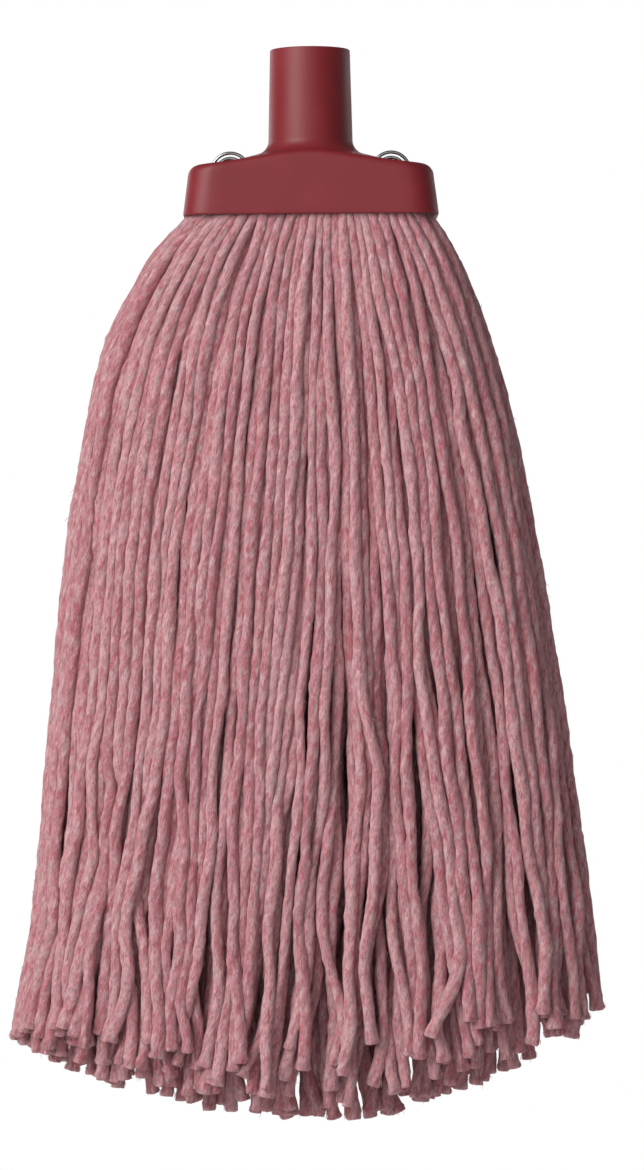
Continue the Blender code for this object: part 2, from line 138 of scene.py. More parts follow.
# Yarn bundle: half width and half depth of its outline, by depth below the mouth
FAN_X, FAN_X_SLOPE, FAN_X_NECK, FAN_X_REACH = 0.0769, 0.105, 0.0303, 0.043
FAN_Y, FAN_Y_SLOPE, FAN_Y_NECK, FAN_Y_REACH = 0.0275, 0.020, 0.0085, 0.030
SECTION_POWER, SECTION_POWER_NECK, SECTION_POWER_REACH = 2.5, 3.5, 0.025
SECTION_LIMIT = 0.97  # tails further out get the depth at this share
LIP_PINCH_X, LIP_PINCH_Y, LIP_PINCH_REACH = 0.0024, 0.0006, 0.004
LEAN_X, LEAN_DEPTH = -0.0050, 0.070  # the upper bundle bulges a little to the left
CORNER_FLARE, CORNER_DEPTH, CORNER_REACH = 0.0036, 0.245, 0.060  # its lower left corner
CORNER_START = 0.20  # where along the left half that flare sets in

# Where the tails are set: columns from left to right, rows from front to back
COLUMNS, ROWS, LEAST_ROWS, COLUMN_FILL = 30, 13, 3, 0.98
END_CROWDING = 0.30  # how much closer the columns stand towards both ends
ROW_STAGGER = 0.62  # how far each row is shifted against the one before, in columns
SURFACE_CROWDING, SURFACE_PULL = 0.72, 1.6  # how much closer the rows hang to front and back
CROWDING_END, CROWDING_FADE = 0.70, 0.25  # where along the half width that fades out
MOUTH_NOISE, HANG_NOISE = (0.020, 0.080), (0.020, 0.045)  # sideways, and from front to back

# One tail
STRAND_R, STRAND_R_MOUTH, STRAND_SWELL = 0.00222, 0.00194, 0.030
SIZE_SPREAD = 0.065
START_DEPTH, LEVEL = -0.0015, 0.003  # where a tail starts, and between levels
SMOOTH_ROUNDS = 2
RING, AROUND = 0.0021, 12  # between rings, and points in each
PLIES, TWIST_PITCH, TWIST_WANDER = 3, 0.026, 0.06
# the last value sets how much of the grooves' painted shade the middle of each end cap gets
GROOVE, GROOVE_WIDTH, END_CAP_GROOVE_SHADE = 0.07, 1.4, 0.6
KNOT_PITCH, KNOT_SIZE = 0.014, 0.08  # thicker and thinner stretches
FLAT_PITCH, FLATNESS, UNEVEN = 0.045, 0.07, 0.055
NOISE_STEPS, WOBBLE_STEPS = 40, 60  # random values along a tail
WOBBLE, WOBBLE_PITCH = 0.00020, 0.0065  # a tail's own crookedness
FLECK_PITCH, FLECK_WANDER = 0.110, 0.5  # one turn of the colour flecks
COORD_LENGTH = 0.0065  # length of yarn for one unit of its texture coordinate
COORD_RANGE = 1000.0  # how far apart the tails are in that texture
FRAY_REACH, FRAY_GROOVE, FLARE = 0.0038, 2.2, 0.26
FLARE_BY_SIDE, FLARE_BY_POINT = 0.18, 0.09
END_DOME, END_ROUND = 0.0006, 0.80  # the brushed-out end's rounding

# Loose fibres
FIBRES, CORE_FIBRES, FIBRES_AT_END = 120, 60, 0.25
FIBRE_DOWN = 0.6  # how many of the others point down the tail
FIBRE_REACH, FIBRE_STAND, FIBRE_STAND_AT_END = (0.0008, 0.0017), (0.15, 0.75), 0.5
FIBRE_ASLANT, FIBRE_CURL, FIBRE_ROOT = 0.6, 0.25, 0.00015
FIBRE_AHEAD, FIBRE_TURN, FIBRE_END = 0.8, 0.9, 0.8  # how far they run on, and their second half
FIBRE_THICK, FIBRE_TAPER, FIBRE_SIDES = (0.00005, 0.00010), (1.2, 1.0, 0.55), 3

# How the tails hang
SOFTNESS = 0.80  # how near two tails' middles come, by their radii
PUSH_ROUNDS, PUSH, MEMORY = 12, 0.42, 0.96
SETTLE_REACH, MOUTH_REACH = 0.050, 0.02
SWEEP, SWEEP_WIDTH = 0.175, 1.75  # how far the surface tails slant to the left, and over what width
LOOSE_START, SWEEP_REACH = 0.02, 0.27  # the depths over which they do
STRAY_SHARE, STRAY, STRAY_REACH = 0.55, 0.0075, 0.28  # the tails that wander sideways
SINK = 0.0011  # each one's own place from front to back
WAVE_TEMPO, SLOW_RATE, QUICK_RATE = (0.75, 1.3), 46, 125
SLOW_WAVE, QUICK_WAVE = (0.0008, 0.0010), (0.00030, 0.00045)  # from the mouth on, and added low down
MID_REACH, LOW_START, LOW_REACH = 0.08, 0.10, 0.24  # the depths over which those grow

# Locks of neighbouring tails: how many in each band from front to back, and how freely they hang
BAND_LOCKS = ((17, 1.0), (13, 0.7), (9, 0.3), (13, 0.7), (17, 1.0))
CORE_BAND = 2
LOCK_WIDTHS, LOCK_SPAN = (0.55, 1.45), 1.1
LOCK_ASIDE, LOCK_FORWARD, LOCK_SQUEEZE = 0.0044, 0.0016, 0.11
LOCK_SWAY, SWAY_RATE = 0.0022, 42
LOCK_START, LOCK_GROWTH, LOCK_SPLAY = (0.11, 0.21), 0.15, (0.20, 0.65)

# The cut ends rise towards both sides, more so on the right, and from the core to the surface
TIP_RISE_LEFT, TIP_POWER_LEFT = 0.0255, 2.0
TIP_RISE_RIGHT, TIP_POWER_RIGHT = 0.0390, 2.2
TIP_EDGE = 1.05
TIER_RISE, TIER_RISE_RIGHT = 0.0215, 0.0085
TIER_FLAT, TIER_SPREAD = 0.16, 0.0036  # the core's share without it, and its unevenness
TIER_RIGHT_START, TIER_RIGHT_REACH = -0.10, 0.40
END_TIER_CUT = 0.55  # how much weaker that second rise gets at both sides
TIER_CUT_START, TIER_CUT_REACH = 0.60, 0.40
TIP_DEPTH, TIP_HALF_X = 0.315, 0.106  # where the first rise is measured
TIP_ASIDE, TIP_REACH = 0.0055, 0.034

# Locks, as the frame groups them
ROW_INNER_Y = 0.0083
ROW_HALF_X_TOP, ROW_SEAM_FLARE = 0.0420, 0.168
CORE_HALF_X_TOP, CORE_FLARE, CORE_LOCKS = 0.0335, 0.0875, 4
ROW_NAMES = ("far_left", "left", "middle", "right", "far_right")
GROUP_DEPTH = 0.150

# Yarn folds inside the hood
FOLD_HALF_X, FOLD_FOOT, FOLD_RINGS = 0.0195, MOUTH_Z + 0.0008, 22
FOLD_TOP_OVER, FOLD_TOP_UNDER, FOLD_NEST = -0.0072, -0.0141, 0.0030
FOLD_TOP_SHOULDER, FOLD_NEST_SHOULDER = -0.0163, 0.0024
FOLD_ROUND = 0.8

rng = np.random.default_rng(20)


# Scene


def add_object(name, data):
    made = bpy.data.objects.new(name, data)
    bpy.context.scene.collection.objects.link(made)
    return made


def add_mesh(name, points, faces):
    mesh = bpy.data.meshes.new(name)
    mesh.from_pydata(points, [], faces)
    return add_object(name, mesh)


def aim(obj, target):
    direction = np.array(target, float) - np.array(obj.location, float)
    obj.rotation_euler = (
        math.atan2(math.hypot(direction[0], direction[1]), -direction[2]),
        0.0,
        math.atan2(-direction[0], direction[1]),
    )


def make_camera():
    bpy.context.scene.view_settings.view_transform = "Standard"
    middle = 0.5 * (cad_box[0][2] + cad_box[1][2])
    data = bpy.data.cameras.new("camera")
    data.sensor_width = SENSOR
    data.lens = SENSOR * VIEW_DISTANCE / (2 * FRAME_HALF_HEIGHT)
    data.clip_end = FAR_CLIP
    camera = add_object("camera", data)
    camera.location = (VIEW_ASIDE, -VIEW_DISTANCE, middle)
    camera.rotation_euler = (math.pi / 2, CAMERA_ROLL, 0.0)
    bpy.context.scene.camera = camera


def set_inputs(node, values):
    for name, value in values.items():
        node.inputs[name].default_value = value


def camera_switch(tree, others, seen, surface):
    """One shader where the camera looks straight at a surface, and another for everything else."""
    path = tree.nodes.new("ShaderNodeLightPath")
    mix = tree.nodes.new("ShaderNodeMixShader")
    tree.links.new(path.outputs["Is Camera Ray"], mix.inputs["Fac"])
    tree.links.new(others.outputs[0], mix.inputs[1])
    tree.links.new(seen.outputs[0], mix.inputs[2])
    tree.links.new(mix.outputs[0], surface)


def make_world():
    """White where the camera looks past the part, and a dim even fill for everything else."""
    world = bpy.data.worlds.new("studio")
    bpy.context.scene.world = world
    world.use_nodes = True
    tree = world.node_tree
    tree.nodes.clear()
    out = tree.nodes.new("ShaderNodeOutputWorld")
    seen = tree.nodes.new("ShaderNodeBackground")
    fill = tree.nodes.new("ShaderNodeBackground")
    set_inputs(seen, {"Color": (*WHITE, 1.0), "Strength": 1.0})
    set_inputs(fill, {"Color": (*FILL_COLOR, 1.0), "Strength": FILL_STRENGTH})
    camera_switch(tree, fill, seen, out.inputs["Surface"])


def make_floor():
    """A pale floor that looks as white as the background."""
    signs = ((-1, -1), (1, -1), (1, 1), (-1, 1))
    corners = [(x * FLOOR_HALF, y * FLOOR_HALF, FLOOR_Z) for x, y in signs]
    floor = add_mesh("floor", corners, [(0, 1, 2, 3)])
    material, tree, shader = new_material("floor_white")
    set_inputs(shader, {"Base Color": (*FLOOR_COLOR, 1.0), "Roughness": FLOOR_ROUGHNESS})
    glow = tree.nodes.new("ShaderNodeEmission")
    set_inputs(glow, {"Color": (*WHITE, 1.0)})
    camera_switch(tree, shader, glow, tree.nodes["Material Output"].inputs["Surface"])
    floor.data.materials.append(material)


def make_lights():
    """Soft boxes in front and behind, all aimed at the part."""
    for name, (place, size, power) in LIGHTS.items():
        data = bpy.data.lights.new(name, "AREA")
        data.shape = "RECTANGLE"
        data.size, data.size_y = size
        data.energy = power
        light = add_object(name, data)
        light.location = place
        aim(light, LIT_POINT)


# Node helpers


def new_material(name):
    material = bpy.data.materials.new(name)
    material.use_nodes = True
    tree = material.node_tree
    return material, tree, tree.nodes["Principled BSDF"]


def noise(tree, vector, scale, detail, roughness, distortion=0.0):
    node = tree.nodes.new("ShaderNodeTexNoise")
    set_inputs(node, {"Scale": scale, "Detail": detail, "Roughness": roughness, "Distortion": distortion})
    tree.links.new(vector, node.inputs["Vector"])
    return node.outputs["Fac"]


def scaled(tree, vector, factors, offset=(0.0, 0.0, 0.0)):
    node = tree.nodes.new("ShaderNodeVectorMath")
    node.operation = "MULTIPLY_ADD"
    tree.links.new(vector, node.inputs[0])
    node.inputs[1].default_value = factors
    node.inputs[2].default_value = offset
    return node.outputs["Vector"]


def ramp(tree, value, low, high, out_low=0.0, out_high=1.0):
    """A smooth step from out_low to out_high while value goes from low to high."""
    node = tree.nodes.new("ShaderNodeMapRange")
    node.interpolation_type = "SMOOTHSTEP"
    tree.links.new(value, node.inputs["Value"])
    set_inputs(node, {"From Min": low, "From Max": high, "To Min": out_low, "To Max": out_high})
    return node.outputs["Result"]


def mix_color(tree, factor, one, two, mode="MIX"):
    node = tree.nodes.new("ShaderNodeMix")
    node.data_type = "RGBA"
    node.blend_type = mode
    if isinstance(factor, float):
        node.inputs["Factor"].default_value = factor
    else:
        tree.links.new(factor, node.inputs["Factor"])
    for value, name in ((one, "A"), (two, "B")):
        sockets = [s for s in node.inputs if s.name == name and s.type == "RGBA"]
        if isinstance(value, tuple):
            sockets[0].default_value = (*value, 1.0)
        else:
            tree.links.new(value, sockets[0])
    return [s for s in node.outputs if s.type == "RGBA"][0]


def math_node(tree, operation, one, two):
    node = tree.nodes.new("ShaderNodeMath")
    node.operation = operation
    for value, socket in zip((one, two), node.inputs):
        if isinstance(value, (int, float)):
            socket.default_value = value
        else:
            tree.links.new(value, socket)
    return node.outputs[0]


def bump(tree, height, distance, strength, normal=None):
    node = tree.nodes.new("ShaderNodeBump")
    set_inputs(node, {"Strength": strength, "Distance": distance})
    tree.links.new(height, node.inputs["Height"])
    if normal is not None:
        tree.links.new(normal, node.inputs["Normal"])
    return node.outputs["Normal"]


def object_coordinates(tree):
    return tree.nodes.new("ShaderNodeTexCoord").outputs["Object"]


def attribute(tree, name, output="Vector"):
    node = tree.nodes.new("ShaderNodeAttribute")
    node.attribute_name = name
    return node.outputs[output]


# Materials


def plastic_material():
    """Satin crimson polypropylene with a fine moulded texture and faint flow marks."""
    material, tree, shader = new_material("crimson_plastic")
    place = object_coordinates(tree)
    clouds = noise(tree, place, scale=55.0, detail=3.0, roughness=0.55)
    drawn_out = scaled(tree, place, (60.0, 60.0, 14.0))
    flow = noise(tree, drawn_out, scale=1.0, detail=4.0, roughness=0.6, distortion=0.4)
    grain = noise(tree, place, scale=2600.0, detail=2.0, roughness=0.6)
    tone = mix_color(tree, ramp(tree, clouds, 0.3, 0.7), CRIMSON, CRIMSON_LIGHT)
    tone = mix_color(tree, ramp(tree, flow, 0.45, 0.8, 0.0, 0.35), tone, CRIMSON_FLOW)
    tree.links.new(tone, shader.inputs["Base Color"])
    cloudy = ramp(tree, clouds, 0.3, 0.7, 0.43, 0.50)
    grainy = ramp(tree, grain, 0.3, 0.7, 0.0, 0.05)
    tree.links.new(math_node(tree, "ADD", cloudy, grainy), shader.inputs["Roughness"])
    soft = bump(tree, flow, distance=0.00005, strength=0.5)
    fine = bump(tree, grain, distance=0.00002, strength=0.35, normal=soft)
    tree.links.new(fine, shader.inputs["Normal"])
    return material


def wire_material():
    """Galvanised steel: bright, with a faint spangle and fine marks."""
    material, tree, shader = new_material("galvanised_wire")
    place = object_coordinates(tree)
    spangle = tree.nodes.new("ShaderNodeTexVoronoi")
    set_inputs(spangle, {"Scale": 900.0})
    tree.links.new(place, spangle.inputs["Vector"])
    cells = spangle.outputs["Distance"]
    marks = noise(tree, place, scale=1500.0, detail=3.0, roughness=0.6)
    tone = mix_color(tree, ramp(tree, cells, 0.1, 0.7), ZINC_LIGHT, ZINC_DARK)
    tree.links.new(tone, shader.inputs["Base Color"])
    tree.links.new(ramp(tree, marks, 0.3, 0.7, 0.12, 0.22), shader.inputs["Roughness"])
    set_inputs(shader, {"Metallic": 1.0})
    tree.links.new(bump(tree, marks, distance=0.00001, strength=0.25), shader.inputs["Normal"])
    return material


def yarn_material():
    """Loosely twisted recycled cotton: dusty pink with greyish-white and deeper red flecks, and painted
    shade in the grooves between its plies.
    """
    material, tree, shader = new_material("mop_yarn")
    strand = attribute(tree, "strand")
    tone = attribute(tree, "tone", "Fac")
    groove = attribute(tree, "groove", "Fac")
    flecks = noise(tree, strand, scale=1.25, detail=5.0, roughness=0.66, distortion=0.2)
    pale = ramp(tree, flecks, 0.42, 0.66)
    shifted = scaled(tree, strand, (0.6, 0.6, 0.34), (3.7, 5.1, 53.0))
    stretches = noise(tree, shifted, scale=1.0, detail=2.0, roughness=0.5)
    patch = ramp(tree, stretches, 0.42, 0.62)
    shifted = scaled(tree, strand, (1.0, 1.0, 1.0), (7.3, 1.9, 31.0))
    flecks = noise(tree, shifted, scale=1.5, detail=5.0, roughness=0.66, distortion=0.2)
    red = ramp(tree, flecks, 0.45, 0.68)
    shifted = scaled(tree, strand, (1.0, 1.0, 0.9), (2.1, 9.2, 77.0))
    mottle = noise(tree, shifted, scale=4.0, detail=5.0, roughness=0.7, distortion=0.2)
    drawn_out = scaled(tree, strand, (1.0, 1.0, 0.40))
    fibre = noise(tree, drawn_out, scale=14.0, detail=3.0, roughness=0.7)
    color = mix_color(tree, tone, YARN_DEEP, YARN_LIGHT)
    layers = ((patch, PATCH_SHARE, YARN_PATCH), (pale, PALE_SHARE, YARN_PALE), (red, RED_SHARE, YARN_RED))
    for place, share, tint in layers:
        color = mix_color(tree, math_node(tree, "MULTIPLY", place, share), color, tint)
    mottle_and_groove_shade = ramp(tree, mottle, 0.25, 0.75, 0.66, 1.32)
    mottle_and_groove_shade = math_node(tree, "MULTIPLY", mottle_and_groove_shade, ramp(tree, fibre, 0.2, 0.8, 0.80, 1.16))
    # painted shade: the grooves between the plies darker and the ply ridges a little lighter, on top of
    # the random mottle
    mottle_and_groove_shade = math_node(tree, "MULTIPLY", mottle_and_groove_shade, ramp(tree, groove, 0.0, 1.0, 1.03, 0.90))
    gray = tree.nodes.new("ShaderNodeCombineColor")
    for socket in gray.inputs:
        tree.links.new(mottle_and_groove_shade, socket)
    color = mix_color(tree, 1.0, color, gray.outputs[0], "MULTIPLY")
    tree.links.new(color, shader.inputs["Base Color"])
    set_inputs(shader, {"Roughness": 0.95, "Specular IOR Level": 0.12})
    set_inputs(shader, {"Sheen Weight": 0.35, "Sheen Roughness": 0.6, "Sheen Tint": YARN_SHEEN})
    height = math_node(tree, "ADD", math_node(tree, "MULTIPLY", fibre, 0.8), mottle)
    tree.links.new(bump(tree, height, distance=0.0005, strength=0.7), shader.inputs["Normal"])
    return material


# Meshes


def mesh_piece(name, points, quads, material, tris=None, sharp=None):
    """A smooth mesh from arrays of points, of four-sided faces and of triangles. sharp is in degrees."""
    tris = np.zeros((0, 3), np.int32) if tris is None else tris
    corners = np.concatenate([np.ravel(quads), np.ravel(tris)]).astype(np.int32)
    sides = np.concatenate([np.full(len(quads), 4), np.full(len(tris), 3)])
    starts = np.concatenate([[0], np.cumsum(sides)[:-1]]).astype(np.int32)
    mesh = bpy.data.meshes.new(name)
    mesh.vertices.add(len(points))
    mesh.vertices.foreach_set("co", np.asarray(points, np.float32).ravel())
    mesh.loops.add(len(corners))
    mesh.loops.foreach_set("vertex_index", corners)
    mesh.polygons.add(len(sides))
    mesh.polygons.foreach_set("loop_start", starts)
    mesh.update(calc_edges=True)
    mesh.shade_smooth()
    if sharp is not None:
        mesh.set_sharp_from_angle(angle=math.radians(sharp))
    mesh.materials.append(material)
    return add_object(name, mesh)


def ring_faces(rings, size):
    """Quads between successive closed rings of points."""
    ring = np.arange(rings - 1)[:, None] * size
    k = np.arange(size)
    after = (k + 1) % size
    quads = np.stack([ring + k, ring + after, ring + size + after, ring + size + k], -1)
    return quads.reshape(-1, 4)


def smooth_step(value):
    value = np.clip(value, 0.0, 1.0)
    return value * value * (3 - 2 * value)


# Housing


def hood_directions():
    """Angles round the socket, closer together round the hood's corners."""
    near_end = math.atan2(HOOD_HALF_Y - HOOD_CORNER, HOOD_HALF_X)
    near_front = math.atan2(HOOD_HALF_Y, HOOD_HALF_X - HOOD_CORNER)
    stops = (0.0, near_end, near_front, math.pi / 2)
    quarter = []
    for start, end, steps in zip(stops, stops[1:], QUARTER_STEPS):
        quarter += list(np.linspace(start, end, steps, endpoint=False))
    angles = quarter + [math.pi / 2] + [math.pi - a for a in reversed(quarter[1:])]
    return angles + [a + math.pi for a in angles]


def outline_radius(angle, half_x, half_y, corner):
    """Distance from the axis to a rounded rectangle, along a direction."""
    c, s = abs(math.cos(angle)), abs(math.sin(angle))
    if s * half_x <= c * (half_y - corner):
        return half_x / c
    if c * half_y <= s * (half_x - corner):
        return half_y / s
    middle_x, middle_y = half_x - corner, half_y - corner
    along = c * middle_x + s * middle_y
    return along + math.sqrt(along**2 - middle_x**2 - middle_y**2 + corner**2)


def wall_radius(angle, z, inset=0.0):
    """Distance from the axis to the hood's flared wall at a height."""
    up = z - MOUTH_Z
    half_x = HOOD_HALF_X - FLARE_X * up - inset
    half_y = HOOD_HALF_Y - FLARE_Y * up - inset
    return outline_radius(angle, half_x, half_y, HOOD_CORNER - inset)


FILLET_TURN = math.atan2(1.0, ROOF_SLOPE)
FILLET_END_R = SOCKET_R_BASE + FILLET_R * (1 - math.cos(FILLET_TURN))
FILLET_END_Z = FILLET_TOP - FILLET_R * math.sin(FILLET_TURN)


def roof_height(radius):
    """Height of the fillet round the socket, then of the roof outside it."""
    if radius < FILLET_END_R:
        turn = math.acos(1 - (radius - SOCKET_R_BASE) / FILLET_R)
        return FILLET_TOP - FILLET_R * math.sin(turn)
    run = radius - FILLET_END_R
    return FILLET_END_Z - ROOF_SLOPE * run + ROOF_CURVE * run**2


def roof_fall(radius):
    """The roof's angle below the horizontal."""
    if radius < FILLET_END_R:
        return math.pi / 2 - math.acos(1 - (radius - SOCKET_R_BASE) / FILLET_R)
    return math.atan(ROOF_SLOPE - 2 * ROOF_CURVE * (radius - FILLET_END_R))


def edge_round(angle):
    """Radius of the edge between roof and wall, larger at the hood's ends."""
    return EDGE_ROUND_FRONT + (EDGE_ROUND_END - EDGE_ROUND_FRONT) * math.cos(angle) ** 4


def roof_edge(angle):
    """Where the rounding to the wall starts: its radius, height and fall."""
    size = edge_round(angle)
    radius = wall_radius(angle, EDGE_START_Z) - size
    for _ in range(EDGE_ROUNDS):
        fall = roof_fall(radius)
        top = roof_height(radius) - size * math.cos(fall)
        wall = wall_radius(angle, top)
        radius = 0.5 * (radius + wall - size * (1 - math.sin(fall)))
    return radius, roof_height(radius), roof_fall(radius)


def roof_points(angle):
    """From the socket's side, down the fillet and out along the roof, to the edge's rounding."""
    end = roof_edge(angle)[0]
    turn = math.acos(1 - (min(end, FILLET_END_R) - SOCKET_R_BASE) / FILLET_R)
    fillet = FILLET_R * turn
    total = fillet + max(0.0, end - FILLET_END_R)
    points = []
    for k in range(ROOF_STEPS):
        run = total * (k / ROOF_STEPS) ** ROOF_BUNCHING
        if run < fillet:
            radius = SOCKET_R_BASE + FILLET_R * (1 - math.cos(run / FILLET_R))
        else:
            radius = FILLET_END_R + run - fillet
        points.append((radius, roof_height(radius)))
    return points


def ceiling_height(radius):
    """The hood's ceiling: a roof's thickness under the roof, and level under the socket."""
    if radius < SOCKET_R_BASE:
        return -WEB
    return min(-WEB, roof_height(max(radius, FILLET_END_R)) - ROOF)


def hood_profile(angle):
    """The housing's section in one direction, from the seat's middle to the ceiling's middle."""
    points = [(0.0, 0.0), (BORE_R_SEAT * SEAT_RING, 0.0), (BORE_R_SEAT - SEAT_ROUND, 0.0)]
    points.append((BORE_R_SEAT, SEAT_ROUND))
    for share in (0.33, 0.66):
        points.append((BORE_R_SEAT + (BORE_R_RIM - BORE_R_SEAT) * share, RIM_Z * share))
    points += [(BORE_R_RIM, RIM_Z - LEAD_IN_DEPTH), (BORE_R_RIM + LEAD_IN, RIM_Z)]
    for k in range(RIM_STEPS + 1):
        turn = math.pi / 2 * k / RIM_STEPS
        out = SOCKET_R_TOP - RIM_ROUND * (1 - math.sin(turn))
        points.append((out, RIM_Z - RIM_ROUND * (1 - math.cos(turn))))
    for share in (0.3, 0.6, 0.85):
        z = RIM_Z - RIM_ROUND + (FILLET_TOP - RIM_Z + RIM_ROUND) * share
        points.append((SOCKET_R_TOP + (SOCKET_R_BASE - SOCKET_R_TOP) * share, z))
    points += roof_points(angle)
    radius, height, fall = roof_edge(angle)
    size = edge_round(angle)
    for k in range(EDGE_STEPS + 1):
        turn = fall + (math.pi / 2 - fall) * k / EDGE_STEPS
        out = radius + size * (math.sin(turn) - math.sin(fall))
        points.append((out, height - size * (math.cos(fall) - math.cos(turn))))
    top = points[-1][1]
    for share in (0.2, 0.4, 0.6, 0.8):
        z = top + (MOUTH_Z - top) * share
        points.append((wall_radius(angle, z), z))
    for k in range(LIP_STEPS + 1):
        turn = math.pi / 2 * k / LIP_STEPS
        inset = LIP_ROUND * (1 - math.cos(turn))
        z = MOUTH_Z + LIP_ROUND * (1 - math.sin(turn))
        points.append((wall_radius(angle, z) - inset, z))
    points.append((wall_radius(angle, MOUTH_Z, WALL) + LIP_BEVEL, MOUTH_Z))
    points.append((wall_radius(angle, MOUTH_Z, WALL), MOUTH_Z + LIP_BEVEL))
    inner = wall_radius(angle, MOUTH_Z + INNER_WALL_RISE, WALL)
    points.append((inner, MOUTH_Z + INNER_WALL_RISE))
    points.append((inner, ceiling_height(inner) - CEILING_DROP))
    for share in (0.97, 0.90, 0.80, 0.65, 0.45, 0.25):
        out = CEILING_R + (inner - CEILING_R) * share
        points.append((out, ceiling_height(out)))
    points += [(CEILING_R, -WEB), (0.0, -WEB)]
    return points


def add_cut(target, name, low, high):
    """Cuts a box with rounded corners out of the target."""
    spans = list(zip(low, high))
    corners = [(x, y, z) for x in spans[0] for y in spans[1] for z in spans[2]]
    sides = [(0, 1, 3, 2), (4, 6, 7, 5), (0, 4, 5, 1), (2, 3, 7, 6), (0, 2, 6, 4), (1, 5, 7, 3)]
    cutter = add_mesh(name, corners, sides)
    round_corners = cutter.modifiers.new("round", "BEVEL")
    round_corners.width = SLOT_ROUND
    round_corners.segments = 3
    apply_boolean(target, cutter, "DIFFERENCE")


def apply_boolean(target, tool, operation):
    """Joins or cuts the target with the tool, which is used up."""
    modifier = target.modifiers.new(tool.name, "BOOLEAN")
    modifier.object = tool
    modifier.operation = operation
    modifier.solver = "EXACT"
    depsgraph = bpy.context.evaluated_depsgraph_get()
    made = bpy.data.meshes.new_from_object(target.evaluated_get(depsgraph))
    target.modifiers.clear()
    target.data = made
    bpy.data.objects.remove(tool, do_unlink=True)


def make_housing(material):
    """Socket and hood as one closed shell, with crush ribs in the bore and slots in the roof."""
    directions = hood_directions()
    profiles = np.array([hood_profile(angle) for angle in directions])
    size, rows = profiles.shape[:2]
    cos, sin = np.cos(directions)[:, None], np.sin(directions)[:, None]
    grid = np.stack([profiles[..., 0] * cos, profiles[..., 0] * sin, profiles[..., 1]], -1)
    points = grid.transpose(1, 0, 2).reshape(-1, 3)
    piece = mesh_piece("housing_shell", points, ring_faces(rows, size)[:, ::-1], material)
    work = bmesh.new()
    work.from_mesh(piece.data)
    bmesh.ops.remove_doubles(work, verts=work.verts, dist=MERGE_DISTANCE)
    bmesh.ops.recalc_face_normals(work, faces=work.faces)
    work.to_mesh(piece.data)
    work.free()
    for number in range(RIB_COUNT):
        apply_boolean(piece, make_rib(number), "UNION")
    for side in (-1, 1):
        for near, far in ((-SLOT_FAR, -SLOT_NEAR), (SLOT_NEAR, SLOT_FAR)):
            low = (side * COIL_X + near, -SLOT_HALF_Y, SLOT_LOW)
            high = (side * COIL_X + far, SLOT_HALF_Y, SLOT_HIGH)
            add_cut(piece, f"slot_{side}_{near}", low, high)
    piece.data.shade_smooth()
    piece.data.set_sharp_from_angle(angle=math.radians(SHARP_EDGE))
    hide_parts("socket_housing")
    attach(piece, "head")


def make_rib(number):
    """A crush rib down the bore, its foot in the wall and its top end ramped."""
    angle = math.pi / 4 + number * math.tau / RIB_COUNT
    section = [
        (BORE_R_SEAT + RIB_FOOT, RIB_START),
        (BORE_R_SEAT - RIB_PROUD, RIB_START),
        (BORE_R_SEAT - RIB_PROUD, RIB_LENGTH - RIB_RAMP),
        (BORE_R_SEAT + RIB_FOOT, RIB_LENGTH),
    ]
    points = []
    for across in (-RIB_WIDTH / 2, RIB_WIDTH / 2):
        for radius, z in section:
            x = radius * math.cos(angle) - across * math.sin(angle)
            y = radius * math.sin(angle) + across * math.cos(angle)
            points.append((x, y, z))
    faces = [(k, (k + 1) % 4, 4 + (k + 1) % 4, 4 + k) for k in range(4)]
    faces += [(3, 2, 1, 0), (4, 5, 6, 7)]
    return add_mesh("rib", points, faces)


# Wire


def coil_points(side):
    """Round the coil from the run through the yarn, an inner turn and then an outer one."""
    points = []
    steps = round(COIL_TURNS * COIL_STEPS)
    for k in range(steps + 1):
        part = k / steps
        turn = math.tau * COIL_TURNS * part
        radius = COIL_R_INNER + (COIL_R_OUTER - COIL_R_INNER) * float(smooth_step(2 * part - 0.5))
        x = side * (COIL_X + radius * math.sin(turn))
        points.append((x, COIL_HALF_Y * (1 - 2 * part), COIL_Z - radius * math.cos(turn)))
    return points


def make_wire(material):
    """One wire: the left coil, the straight run through the yarn and the right coil."""
    run_z = COIL_Z - COIL_R_INNER
    shares = np.linspace(-RUN_SHARE, RUN_SHARE, RUN_STEPS)
    run = [(COIL_X * share, COIL_HALF_Y, run_z) for share in shares]
    route = np.array(list(reversed(coil_points(-1))) + run + coil_points(1))
    _, _, points = tube(route, np.full((len(route), WIRE_AROUND), WIRE_R), (0.0, 1.0, 0.0))
    quads, tris = tube_faces(len(route), WIRE_AROUND)
    piece = mesh_piece("wire_lashing", points, quads, material, tris, sharp=SHARP_EDGE_WIRE)
    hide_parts("retaining_wire")
    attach(piece, "head")


# Tubes


def normalized(vectors):
    return vectors / np.linalg.norm(vectors, axis=-1, keepdims=True)


def cross_axes(path, reference):
    """Unit vectors across a path, and its tangents."""
    tangent = normalized(np.gradient(path, axis=0))
    reference = np.asarray(reference, float)
    across = normalized(reference - tangent * (tangent @ reference)[:, None])
    return across, np.cross(tangent, across), tangent


def tube(path, radii, reference, dome=0.0):
    """Rings of points along path, with a middle point for each end. radii has a row per ring."""
    across, other, tangent = cross_axes(path, reference)
    size = radii.shape[1]
    turn = (np.arange(size) * math.tau / size)[None, :, None]
    out = np.cos(turn) * across[:, None] + np.sin(turn) * other[:, None]
    rings = path[:, None] + radii[..., None] * out
    ends = [path[0] - tangent[0] * dome, path[-1] + tangent[-1] * dome]
    return rings, out, np.concatenate([rings.reshape(-1, 3), ends])


def tube_faces(rings, size):
    """Quads along the tube, and triangles that close its two ends."""
    count = rings * size
    k = np.arange(size)
    after = (k + 1) % size
    first = np.stack([np.full(size, count), after, k], -1)
    last = np.stack([np.full(size, count + 1), count - size + k, count - size + after], -1)
    return ring_faces(rings, size), np.concatenate([first, last])


# Yarn


